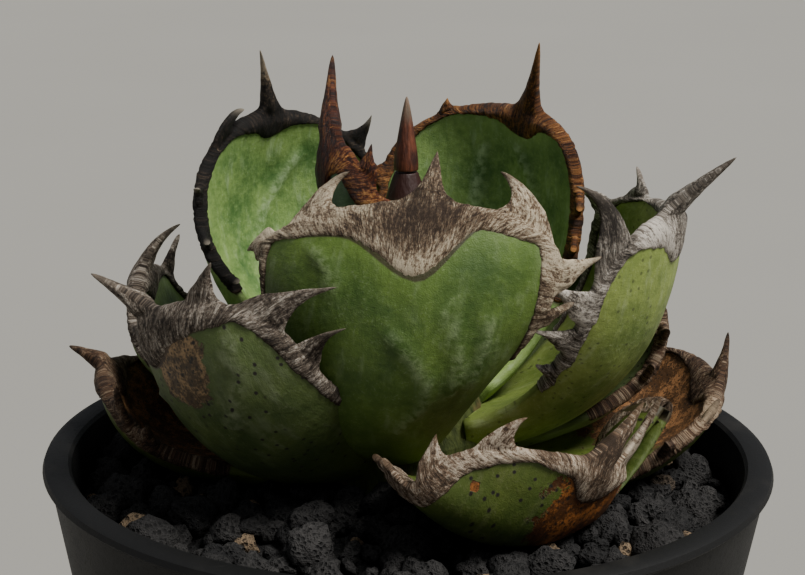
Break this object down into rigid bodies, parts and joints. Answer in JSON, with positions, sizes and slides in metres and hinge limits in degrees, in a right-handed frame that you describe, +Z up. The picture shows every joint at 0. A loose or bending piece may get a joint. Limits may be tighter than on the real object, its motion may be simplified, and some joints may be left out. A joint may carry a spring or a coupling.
{
  "type": "potted agave",
  "caption": "Compact rosette of thick cupped agave leaves with broad horny toothed margins and long terminal spines, rooted in coarse lava grit in a tapered round nursery pot",
  "frame": {"origin": "middle of the pot's foot, on the surface that the pot stands on", "axes": "+Z up; -Y towards the side that the picture shows; +X to the right of it"},
  "size_m": [0.14, 0.14, 0.1915],
  "materials": {
    "pot": "black moulded nursery plastic, satin, lightly scuffed on the lip",
    "stem": "short fibrous stem and roots, hidden among the leaf bases",
    "leaf": "thick waxy green leaf skin, mottled, with pale bud prints and dark specks",
    "horn": "grey to brown horny margin, streaked and corky, with a thin dark inner edge",
    "bud_spine": "smooth dark reddish young spine",
    "grit": "rough porous black lava grit with a few tan stones"
  },
  "bodies": {
    "root": {"pot": "pot", "stem": "stem", "low_front_blade": "leaf", "low_front_horn": "horn", "low_left_blade": "leaf", "low_left_horn": "horn", "low_right_blade": "leaf", "low_right_horn": "horn", "low_back_blade": "leaf", "low_back_horn": "horn", "left_rear_blade": "leaf", "left_rear_horn": "horn", "right_rear_blade": "leaf", "right_rear_horn": "horn", "back_blade": "leaf", "back_horn": "horn", "left_front_blade": "leaf", "left_front_horn": "horn", "right_blade": "leaf", "right_horn": "horn", "back_left_blade": "leaf", "back_left_horn": "horn", "back_right_blade": "leaf", "back_right_horn": "horn", "front_blade": "leaf", "front_horn": "horn", "young_blade": "leaf", "young_horn": "horn", "bud": "leaf", "bud_spine": "bud_spine", "grit": "grit"}
  },
  "joints": []
}
